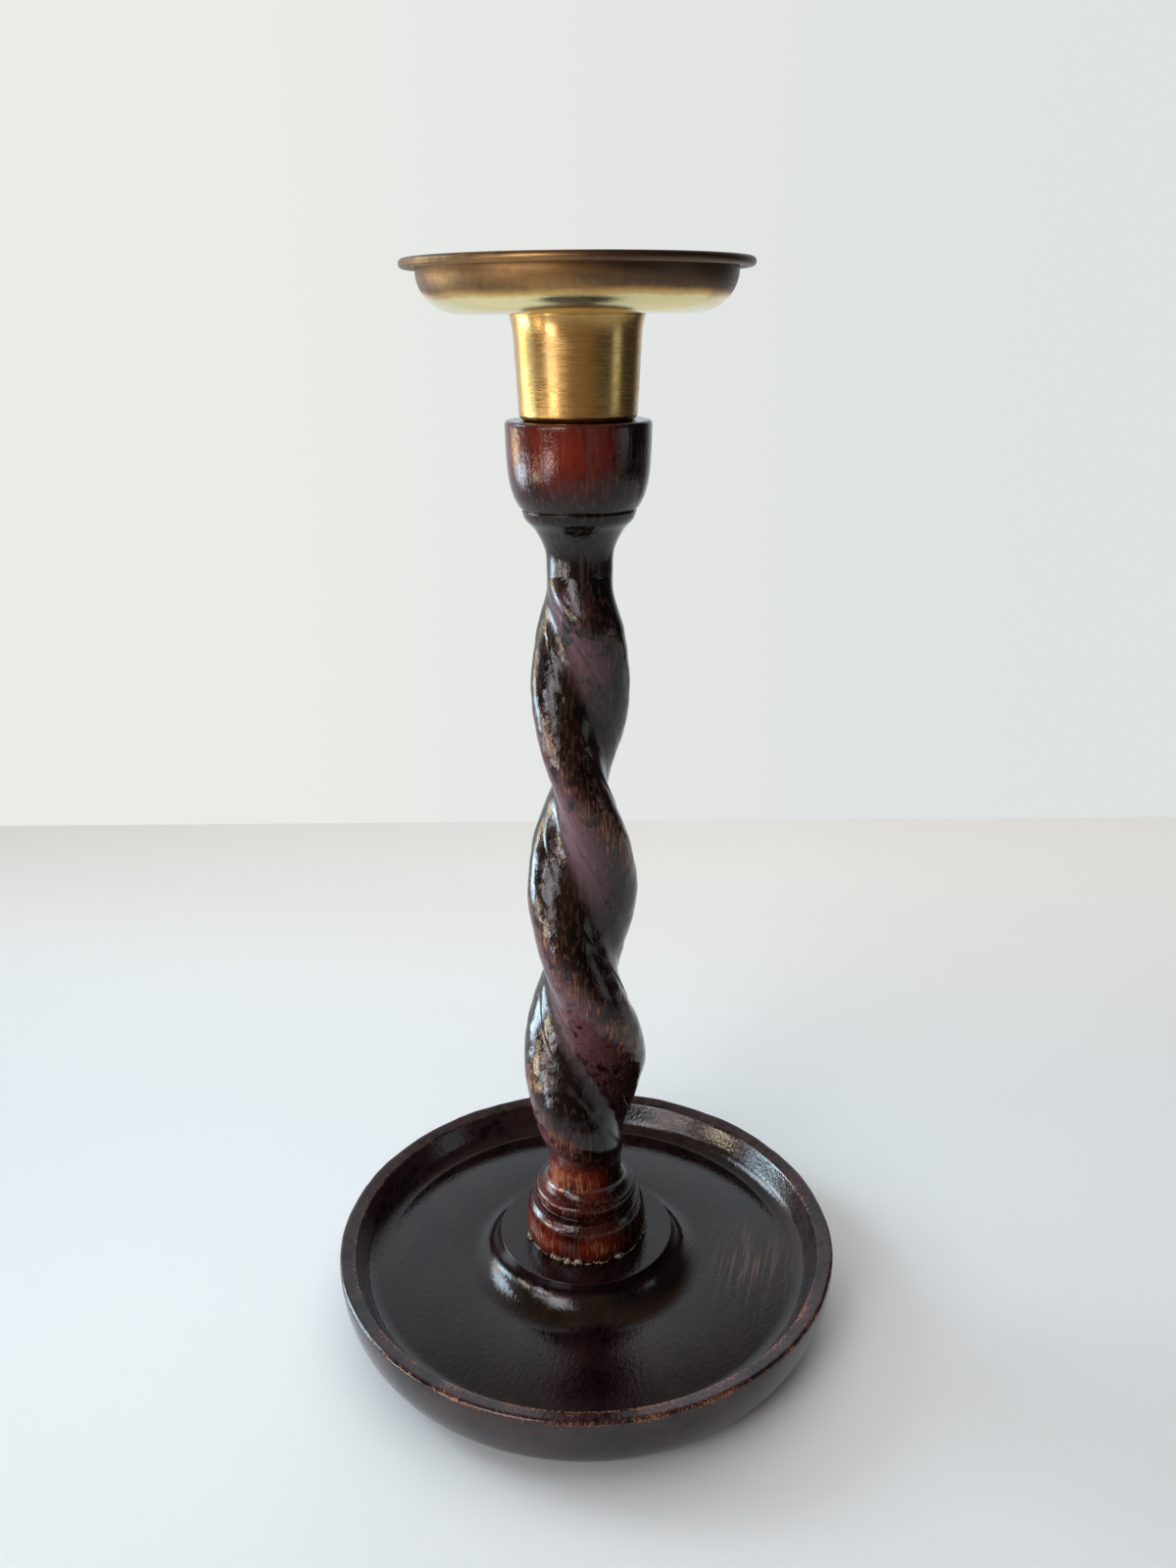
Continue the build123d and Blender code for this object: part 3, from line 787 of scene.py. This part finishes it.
pan_grid = round_grid(pan_radii[:-1], pan_heights[:-1], pan_around)
pan_dents = np.minimum(gentle_waves(pan_grid, pan_dent_length, 21) * pan_dent - pan_dent, 0)
pan_part = np.clip((pan_radii[:-1] - dents_from) / dents_over, 0, 1)
pan_grid[..., :2] *= 1 + (pan_dents * pan_part[:, None] / dents_radius)[..., None]
pan_drift = gentle_waves(pan_grid * (1, 1, 0.3), dark_band_drift_length, 23)
up_the_wall = pan_grid[..., 2] - pan_underside - dark_band_from - dark_band_drift * pan_drift
up_the_wall = np.clip(up_the_wall / dark_band_over, 0, 1)
pan_left_light_and_shade = np.clip(-pan_grid[..., 0] / left_over, 0, 1)
pan_shaded_right = np.clip((pan_grid[..., 0] - right_from) / right_over, 0, 1)
# Painted shade and light: the tarnish rises up the wall for the dark room mirrored there, most on
# the right; on the left the lower band is made paler and the wall above darker.
pan_tarnish_and_shade = (
    -0.27
    + 0.92 * up_the_wall
    + (0.36 * up_the_wall - 0.20) * pan_left_light_and_shade
    + (0.34 * up_the_wall + 0.10) * pan_shaded_right
    + 0.12 * gentle_waves(pan_grid, cloud_length, 22)
)
pan = wrapped_piece("spun_pan", pan_grid, {
    "walked": pan_walked[:-1, None],
    "tarnish_and_painted_shade": pan_tarnish_and_shade,
}, closed=True)
pan.data.materials.append(aged_brass("pan_brass"))
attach(pan, "root")
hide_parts("drip_pan")


# The cup screw: a slotted wood screw of brass, more tarnished than the rest. It goes down through
# the cup's floor into the stem's head, and holds the cup and the pan.
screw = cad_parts["cup_screw"]
screw.data.materials.clear()
screw.data.materials.append(aged_brass("screw_brass", tarnished=0.3))


# The wax: crumbs of old candle wax, caught in the crease where the stem's ring stands on the boss
# and on the ring just above it. Each is a coarse ball, a little flattened, whose points are pushed
# in or out, and its colour lies between dusty grey and amber.
crumb_count, crumb_rows, crumb_columns = 340, 5, 7
smallest_crumb, largest_crumb = 0.00012, 0.00042
crumb_climb, swell_share, swell_rise = 0.0005, 0.09, 0.0040
crumb_draw = np.random.default_rng(31)
crumb_angles = crumb_draw.uniform(0, 2 * np.pi, crumb_count)
crowding = np.sin(3 * crumb_angles + 0.4) + np.sin(7 * crumb_angles + 2.0)
crowding += 0.8 * np.sin(17 * crumb_angles)
crumb_sizes = crumb_draw.uniform(smallest_crumb, largest_crumb, crumb_count)
crumb_sizes *= np.clip(1.1 + 0.5 * crowding, 0.35, 1.9)
crumb_rise = np.abs(crumb_draw.normal(0, crumb_climb, crumb_count)) * (crowding > 0.2)
crumb_radii = ring_radius * (ring_shares[0, 0] + swell_share * crumb_rise / swell_rise)
crumb_radii += crumb_sizes * 0.3
crumb_centres = np.column_stack([
    crumb_radii * np.cos(crumb_angles),
    crumb_radii * np.sin(crumb_angles),
    ring_foot + crumb_sizes * 0.35 + crumb_rise,
])
lump_turns = np.arange(crumb_columns) * 2 * np.pi / crumb_columns
lump_tilts = np.linspace(0, np.pi, crumb_rows)[:, None]
lump = np.stack([
    np.sin(lump_tilts) * np.cos(lump_turns),
    np.sin(lump_tilts) * np.sin(lump_turns),
    -np.cos(lump_tilts) * np.ones(crumb_columns),
], axis=-1)
dents = crumb_draw.uniform(0.6, 1.25, (crumb_count, crumb_rows, crumb_columns, 1))
dents[:, [0, -1]] = dents[:, [0, -1], :1]
crumb_lumps = crumb_sizes[:, None, None, None] * lump * dents * (1, 1, 0.75)
crumb_points = crumb_centres[:, None, None] + crumb_lumps
crumb_row, crumb_column = np.meshgrid(
    np.arange(crumb_rows - 1), np.arange(crumb_columns), indexing="ij"
)
crumb_corner = crumb_row * crumb_columns + crumb_column
crumb_beside = crumb_row * crumb_columns + (crumb_column + 1) % crumb_columns
crumb_quads = np.stack([
    crumb_corner, crumb_beside, crumb_beside + crumb_columns, crumb_corner + crumb_columns,
], axis=-1).reshape(-1, 4)
lump_size = crumb_rows * crumb_columns
crumb_faces = np.arange(crumb_count)[:, None, None] * lump_size + crumb_quads
crumb_mesh = bpy.data.meshes.new("wax_crumbs")
crumb_mesh.from_pydata(crumb_points.reshape(-1, 3), [], crumb_faces.reshape(-1, 4).tolist())
crumb_tints = np.repeat(crumb_draw.uniform(0, 1, crumb_count) ** 1.5, lump_size).astype(np.float32)
crumb_mesh.attributes.new("tint", "FLOAT", "POINT").data.foreach_set("value", crumb_tints)
crumb_mesh.shade_smooth()
crumbs = bpy.data.objects.new("wax_crumbs", crumb_mesh)
bpy.context.collection.objects.link(crumbs)
dusty_wax, amber_wax = (0.27, 0.24, 0.19, 1), (0.25, 0.155, 0.05, 1)
wax_dirt = (0.06, 0.045, 0.035, 1)
wax, wax_tree, wax_shader = new_material("old_wax")
wax_tint = blended(wax_tree, carried(wax_tree, "tint"), dusty_wax, amber_wax)
dirty = ramp(wax_tree, noise(wax_tree, texture_place(wax_tree), 1800, 2.0), 0.35, 0.6, 0.85, 0.0)
wax_tree.links.new(blended(wax_tree, dirty, wax_tint, wax_dirt), wax_shader.inputs["Base Color"])
wax_shader.inputs["Roughness"].default_value = 0.6
crumb_mesh.materials.append(wax)
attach(crumbs, "root")
